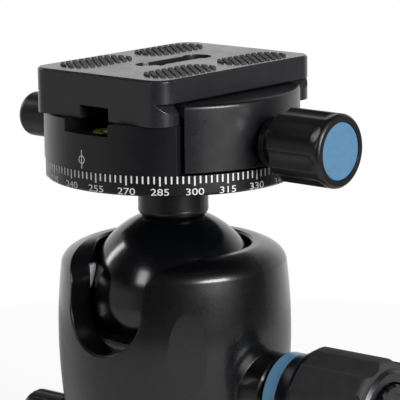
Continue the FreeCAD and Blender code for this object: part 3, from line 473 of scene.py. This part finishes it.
SCALE_ZERO = -339.1
ticks("scale_ticks", "stem", RING_R, RING_TOP - 0.05 * MM, step_deg=2.5, major_every=6,
      minor=1.6 * MM, major=2.05 * MM, width=0.34 * MM, zero=SCALE_ZERO)
numbers("scale_numbers", "stem", RING_R, low=74.5 * MM, height=1.5 * MM, zero=SCALE_ZERO)
index_mark("pan_index_mark", "clamp", CLAMP_R, degrees=-91.6, line=(79.2 * MM, 83.2 * MM),
           circle_z=81.1 * MM, circle_r=0.80 * MM, width=0.22 * MM)

# Scale of the base's panning ring and the line on the housing's foot above it

ticks("base_scale_ticks", "base", BASE_RING_R, BASE_RING_TOP, step_deg=5.0, major_every=3,
      minor=1.1 * MM, major=1.6 * MM, width=0.35 * MM, zero=0.0)
numbers("base_scale_numbers", "base", BASE_RING_R, low=1.95 * MM, height=1.4 * MM, zero=0.0)


def index_line(name, body, r, theta, width, z0, z1):
    verts, faces = [], []
    patch(verts, faces, r, theta, width, z0, z1)
    link_mesh(name, mesh_from(name, verts, faces), WHITE_PAINT, body)


index_line("base_index_line", "housing", FOOT_R, SLOT_ANGLE, 0.35 * MM, 6.6 * MM, 8.4 * MM)


# Turned pieces with flutes or threads

def lathed(name, contour, columns, place, material, body, crease):
    """A contour of (along, radius) turned about an axis. place(along, radius, angle) is a point."""
    verts, faces, rings = [], [], []
    for along, radius in contour:
        count = 1 if radius == 0 else columns
        rings.append(range(len(verts), len(verts) + count))
        verts += [place(along, radius, FULL_TURN * i / columns) for i in range(count)]
    for a, b in zip(rings, rings[1:]):
        for i in range(columns):
            j = (i + 1) % columns
            corners = [a[i % len(a)], a[j % len(a)], b[j % len(b)], b[i % len(b)]]
            faces.append(tuple(dict.fromkeys(corners)))
    mesh = mesh_from(name, verts, faces)
    bm = bmesh.new()
    bm.from_mesh(mesh)
    bmesh.ops.recalc_face_normals(bm, faces=bm.faces)
    bm.to_mesh(mesh)
    bm.free()
    smooth(mesh)
    mesh.set_sharp_from_angle(angle=math.radians(crease))
    return link_mesh(name, mesh, material, body)


def in_metres(contour):
    return [(along * MM, radius * MM) for along, radius in contour]


def thread_cut(along, angle, pitch, deep):
    """How far a V-shaped thread cuts in at one place on a rod."""
    turn = along / pitch - angle / FULL_TURN
    return deep * abs(2 * (turn - math.floor(turn)) - 1)


KNOB_FLUTES = 8
KNOB_FLUTE_AT = math.radians(33.0)
KNOB_FLUTE_HALF = math.radians(14.5)
KNOB_FLUTE_DEEP = 0.75 * MM
KNOB_SCOOP_X = (44.0 * MM, 46.5 * MM)
KNOB_FACE_X = 46.9 * MM
KNOB_NECK_R = 6.4 * MM
KNOB_R = 8.0
KNOB_COLUMNS = 24 * KNOB_FLUTES
KNOB_CREASE = 28.0
KNOB_NECK = [(29.0, 3.2), (28.9, 3.4), (28.9, 5.4), (30.4, 5.4), (32.3, 7.1)]
KNOB_DRUM = [(x, KNOB_R) for x in (33.4, 33.7, 36.0, 39.0, 42.0, 43.9, 44.0, 44.4, 44.9, 45.4,
                                   45.9, 46.2)]
KNOB_FRONT = [(46.55, 7.93), (46.85, 7.75), (47.1, 7.4), (47.1, 6.28), (46.1, 6.28), (46.1, 0.0)]


def on_clamp_axis(x, radius, angle):
    return (x, -radius * math.cos(angle), CLAMP_SCREW_Z + radius * math.sin(angle))


def knob_place(x, radius, angle):
    """A point on the clamp knob: wide shallow flutes that run out just behind the front rim."""
    step = FULL_TURN / KNOB_FLUTES
    off = (angle - KNOB_FLUTE_AT + step / 2) % step - step / 2
    share = max(0.0, 1 - (off / KNOB_FLUTE_HALF) ** 2)
    x0, x1 = KNOB_SCOOP_X
    share *= min(1.0, max(0.0, (x1 - x) / (x1 - x0)))
    on_drum_part = radius > KNOB_NECK_R and x < KNOB_FACE_X
    return on_clamp_axis(x, radius - KNOB_FLUTE_DEEP * share * on_drum_part, angle)


def fluted_knob():
    contour = in_metres(KNOB_NECK + KNOB_DRUM + KNOB_FRONT)
    knob = lathed("fluted_clamp_knob", contour, KNOB_COLUMNS, knob_place,
                  FINISH["black_anodised"], "clamp_knob", KNOB_CREASE)
    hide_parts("clamp_knob")


fluted_knob()

THREAD_CREASE = 60.0


def clamp_screw_thread():
    """The M6 clamp screw, threaded from its blunt tip to the knob's back."""
    pitch, deep, r = 1.0 * MM, 0.52 * MM, 2.98 * MM
    low, high, end = 12.3 * MM, 29.0 * MM, 42.0 * MM
    tip_r, tip_rings, ring_step, columns = 2.3 * MM, 3, 0.125 * MM, 32

    def place(x, radius, angle):
        cut = thread_cut(x, angle, pitch, deep) if radius == r and x < high else 0.0
        return on_clamp_axis(x, radius - cut, angle)

    count = int((high - low) / ring_step)
    rings = [(low + (high - low) * i / count, r) for i in range(tip_rings, count + 1)]
    contour = [(low, 0.0), (low, tip_r)] + rings + [(end, r), (end, 0.0)]
    screw = lathed("threaded_clamp_screw", contour, columns, place, FINISH["steel"],
                   "clamp_knob", THREAD_CREASE)
    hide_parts("clamp_screw")


clamp_screw_thread()


def camera_screw_thread():
    """The 1/4 inch-20 camera screw: a low head with a round recess, a thin neck and the thread."""
    low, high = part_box("camera_screw")
    x, y = (low[0] + high[0]) / 2, (low[1] + high[1]) / 2
    pitch, deep, r = 1.27 * MM, 0.62 * MM, 3.17 * MM
    tip_r, ring_step, columns = 2.4 * MM, 0.127 * MM, 48
    head = [(0.9, 0.0), (0.9, 1.6), (0.0, 1.7), (0.0, 3.7), (0.3, 4.0), (2.3, 4.0)]
    neck = [(2.3, 2.35), (5.7, 2.35)]
    base = low[2]
    start, end = base + 6.1 * MM, high[2]

    def place(z, radius, angle):
        cut = thread_cut(z, angle, pitch, deep) if radius == r else 0.0
        return (x + (radius - cut) * math.cos(angle), y + (radius - cut) * math.sin(angle), z)

    count = int((end - start) / ring_step)
    rings = [(start + (end - start) * i / count, r) for i in range(count)]
    contour = [(base + up, radius) for up, radius in in_metres(head + neck)] + rings
    contour += [(end, tip_r), (end, 0.0)]
    screw = lathed("threaded_camera_screw", contour, columns, place, FINISH["steel"],
                   "camera_screw", THREAD_CREASE)
    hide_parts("camera_screw")


camera_screw_thread()


# Springs and the base's thread

def swept(name, route, frames, wire_r, sides, material, body):
    """A round wire along a route. frames gives the two directions across it at each point."""
    verts, faces = [], []
    for centre, (u, v) in zip(route, frames):
        for i in range(sides):
            a = FULL_TURN * i / sides
            verts.append(centre + wire_r * (math.cos(a) * u + math.sin(a) * v))
    for k in range(0, (len(route) - 1) * sides, sides):
        for i in range(sides):
            j = (i + 1) % sides
            faces.append((k + i, k + j, k + sides + j, k + sides + i))
    faces.append(tuple(range(sides))[::-1])
    faces.append(tuple(range(len(verts) - sides, len(verts))))
    mesh = mesh_from(name, verts, faces)
    smooth(mesh)
    return link_mesh(name, mesh, material, body)


SPRING_Y = 15.6 * MM
SPRING_WIRE_SIDES = 8


def jaw_spring(name, y):
    """One of the two wire springs behind the movable jaw."""
    turns, per_turn, coil_r, wire_r = 7, 24, 1.43 * MM, 0.3 * MM
    x0, x1 = 14.3 * MM, 21.9 * MM
    route, frames = [], []
    for i in range(turns * per_turn + 1):
        a = FULL_TURN * i / per_turn
        out = Vector((0, math.cos(a), math.sin(a)))
        along = x0 + (x1 - x0) * i / (turns * per_turn)
        route.append(Vector((along, y, CLAMP_SCREW_Z)) + coil_r * out)
        frames.append((out, Vector((1, 0, 0))))
    return swept(name, route, frames, wire_r, SPRING_WIRE_SIDES, FINISH["steel"], "clamp")


left_spring = jaw_spring("jaw_spring_coil_a", -SPRING_Y)
jaw_spring("jaw_spring_coil_b", SPRING_Y)
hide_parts("jaw_springs")


def base_thread():
    """The thread for the tripod's stud, as a helical ridge down the base's hole."""
    pitch, r, deep = 1.5875 * MM, 3.97 * MM, 0.34 * MM
    low, high = 1.4 * MM, 12.4 * MM
    half_width, sunk = 0.55 * MM, 0.02 * MM
    per_turn, fade_steps = 36, 12
    count = int((high - low) / pitch * per_turn)
    verts, faces = [], []
    for i in range(count + 1):
        a = FULL_TURN * i / per_turn
        z = low + (high - low) * i / count
        fade = min(1.0, i / fade_steps, (count - i) / fade_steps)
        for radius, lift in ((r + sunk, -half_width), (r - deep * fade, 0.0), (r + sunk, half_width)):
            verts.append(on_drum(radius, a, z + lift))
    for k in range(0, 3 * count, 3):
        faces += [(k + p, k + q, k + q + 3, k + p + 3) for p, q in ((0, 1), (1, 2), (2, 0))]
    faces.append((2, 1, 0))
    faces.append((3 * count, 3 * count + 1, 3 * count + 2))
    link_mesh("base_thread_ridge", mesh_from("base_thread_ridge", verts, faces),
              FINISH["black_anodised"], "base")


base_thread()


# Level: the bubble and its circle, on top of the vial

BUBBLE = [(0.0, 0.0), (0.0, 1.55), (0.05, 1.5), (0.10, 1.2), (0.14, 0.7), (0.15, 0.0)]
BUBBLE_COLUMNS = 40
LEVEL_CIRCLE = [(0.0, 2.05), (0.03, 2.05), (0.03, 2.3), (0.0, 2.3), (0.0, 2.05)]
LEVEL_CIRCLE_COLUMNS = 48
LEVEL_CREASE = 60.0


def level_marks():
    low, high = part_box("level_vial")
    x, y, top = (low[0] + high[0]) / 2, (low[1] + high[1]) / 2, high[2]

    def place(up, radius, angle):
        return (x + radius * math.cos(angle), y + radius * math.sin(angle), top + up)

    lathed("level_bubble", in_metres(BUBBLE), BUBBLE_COLUMNS, place,
           FINISH["level_bubble"], "clamp", LEVEL_CREASE)
    lathed("level_circle", in_metres(LEVEL_CIRCLE), LEVEL_CIRCLE_COLUMNS, place,
           FINISH["level_line"], "clamp", LEVEL_CREASE)


level_marks()


# Camera

CAM_POS = Vector((326.67, -369.24, 169.25)) * MM
YAW, PITCH, ROLL, SPIN = (math.radians(a) for a in (0.698, 11.645, -0.642, 41.5))
LENS = 202.03
SENSOR_WIDTH = 36.0
CLIP_NEAR, CLIP_FAR = 0.01, 50.0


def camera_matrix():
    """Looks along +Y at first, then yaw, pitch and roll, and last the spin round the upright axis."""
    level = math.cos(PITCH)
    forward = Vector((math.sin(YAW) * level, math.cos(YAW) * level, -math.sin(PITCH)))
    right = Vector((math.cos(YAW), -math.sin(YAW), 0))
    up = right.cross(forward)
    rolled_right = math.cos(ROLL) * right + math.sin(ROLL) * up
    rolled_up = -math.sin(ROLL) * right + math.cos(ROLL) * up
    m = Matrix((rolled_right, rolled_up, -forward)).transposed()
    return Matrix.Rotation(SPIN, 3, "Z") @ m


def add_camera():
    data = bpy.data.cameras.new("camera")
    data.lens = LENS
    data.sensor_width = SENSOR_WIDTH
    data.sensor_fit = "HORIZONTAL"
    data.clip_start = CLIP_NEAR
    data.clip_end = CLIP_FAR
    camera = bpy.data.objects.new("camera", data)
    scene.collection.objects.link(camera)
    camera.matrix_world = Matrix.Translation(CAM_POS) @ camera_matrix().to_4x4()
    scene.camera = camera


add_camera()


# Floor, surroundings and lamps. Azimuths are in degrees from the camera's side, positive to its right

CAMERA_SIDE = -48.5
FLOOR_R = 0.20
FLOOR_SIDES = 96
FLOOR_DROP = 0.02 * MM
FLOOR_TONE = (0.80, 0.80, 0.80, 1)
FLOOR_ROUGH = 0.9
FLOOR_WHITE = 0.92
FLOOR_REFLECTED = 0.1
FLOOR_FADE = (0.10, FLOOR_R * 0.95)

BACKDROP_AZIMUTH = 180
BACKDROP_EDGE = (0.0, 0.85)
BACKDROP_TOP = (0.25, 0.75)
SIDE_AZIMUTH = -85
SIDE_EDGE = (0.6, 0.95)
SIDE_TOP = (0.05, 0.3)
SIDE_GLOW = 0.45
ROOM = 0.05
AMBIENT = 0.10

LAMP_AIM = Vector((0, 0, 55 * MM))


def level_direction(azimuth):
    a = math.radians(CAMERA_SIDE + azimuth)
    return (math.cos(a), math.sin(a), 0)


def floor():
    """A pale floor that takes shadows near the object and fades to plain white at its rim."""
    rim = [on_drum(FLOOR_R, FULL_TURN * i / FLOOR_SIDES, 0) for i in range(FLOOR_SIDES)]
    mesh = mesh_from("floor", rim, [tuple(range(FLOOR_SIDES))])
    obj = bpy.data.objects.new("floor", mesh)
    obj.location.z = -FLOOR_DROP
    scene.collection.objects.link(obj)
    mat = bpy.data.materials.new("floor")
    mat.use_nodes = True
    t = Nodes(mat.node_tree)
    bsdf = t.tree.nodes["Principled BSDF"]
    bsdf.inputs["Base Color"].default_value = FLOOR_TONE
    bsdf.inputs["Roughness"].default_value = FLOOR_ROUGH
    direct = t.math("MAXIMUM", t.ray("Camera"), t.ray("Transmission"))
    reflected = t.math("MULTIPLY", t.ray("Glossy"), FLOOR_REFLECTED)
    share = t.math("ADD", reflected, t.math("MULTIPLY", direct, FLOOR_WHITE))
    out = t.node("ShaderNodeVectorMath", operation="LENGTH")
    t.link(t.node("ShaderNodeTexCoord").outputs["Object"], out.inputs[0])
    rim_share = t.math("MULTIPLY", t.ranged(out.outputs["Value"], *FLOOR_FADE), t.ray("Camera"))
    mix = t.node("ShaderNodeMixShader")
    t.link(t.math("MAXIMUM", share, rim_share), mix.inputs[0])
    t.link(bsdf.outputs[0], mix.inputs[1])
    t.link(t.node("ShaderNodeEmission").outputs[0], mix.inputs[2])
    t.link(mix.outputs[0], t.tree.nodes["Material Output"].inputs["Surface"])
    mesh.materials.append(mat)


def world():
    """White to the camera. Reflections see a white backdrop, a glow on the left and a dim room."""
    w = bpy.data.worlds.new("world")
    w.use_nodes = True
    scene.world = w
    t = Nodes(w.node_tree)
    coords = t.node("ShaderNodeTexCoord").outputs["Generated"]

    def towards(azimuth):
        """The cosine between a ray and one level direction."""
        n = t.node("ShaderNodeVectorMath", operation="DOT_PRODUCT")
        t.link(coords, n.inputs[0])
        n.inputs[1].default_value = level_direction(azimuth)
        return n.outputs["Value"]

    split = t.node("ShaderNodeSeparateXYZ")
    t.link(coords, split.inputs[0])
    height = split.outputs["Z"]
    backdrop = t.math("MULTIPLY", t.ranged(towards(BACKDROP_AZIMUTH), *BACKDROP_EDGE),
                      t.ranged(height, *BACKDROP_TOP, 1.0, 0.0))
    side = t.math("MULTIPLY", t.ranged(towards(SIDE_AZIMUTH), *SIDE_EDGE),
                  t.ranged(height, *SIDE_TOP, SIDE_GLOW, 0.0))
    brightest = t.math("MAXIMUM", backdrop, side)
    room = t.math("ADD", t.math("MULTIPLY", brightest, 1.0 - ROOM), ROOM)
    glossy = t.ray("Glossy")
    direct = t.math("MAXIMUM", t.ray("Camera"), t.ray("Transmission"))
    seen = t.math("MAXIMUM", direct, t.math("MULTIPLY", glossy, room))
    unseen = t.math("SUBTRACT", 1.0, t.math("MAXIMUM", direct, glossy))
    background = t.tree.nodes["Background"]
    t.link(t.math("ADD", seen, t.math("MULTIPLY", unseen, AMBIENT)), background.inputs["Strength"])
    background.inputs["Color"].default_value = (1, 1, 1, 1)


def softbox(name, azimuth, elevation, distance, width, height, radiance):
    """A soft rectangular lamp that looks at the object's middle."""
    light = bpy.data.lights.new(name, "AREA")
    light.shape = "RECTANGLE"
    light.size = width
    light.size_y = height
    light.energy = radiance * math.pi * width * height
    obj = bpy.data.objects.new(name, light)
    scene.collection.objects.link(obj)
    e = math.radians(elevation)
    away = Vector(level_direction(azimuth)) * math.cos(e) + Vector((0, 0, math.sin(e)))
    obj.location = LAMP_AIM + away * distance
    obj.rotation_euler = (-away).to_track_quat("-Z", "Y").to_euler()


floor()
world()
softbox("key", azimuth=42, elevation=19, distance=0.9, width=0.42, height=0.42, radiance=27.0)
softbox("front_box", azimuth=-48, elevation=27, distance=0.9, width=0.20, height=0.26, radiance=8.0)
softbox("left_strip", azimuth=-120, elevation=26, distance=0.9, width=0.14, height=0.36, radiance=8.5)

scene.view_settings.view_transform = "Standard"
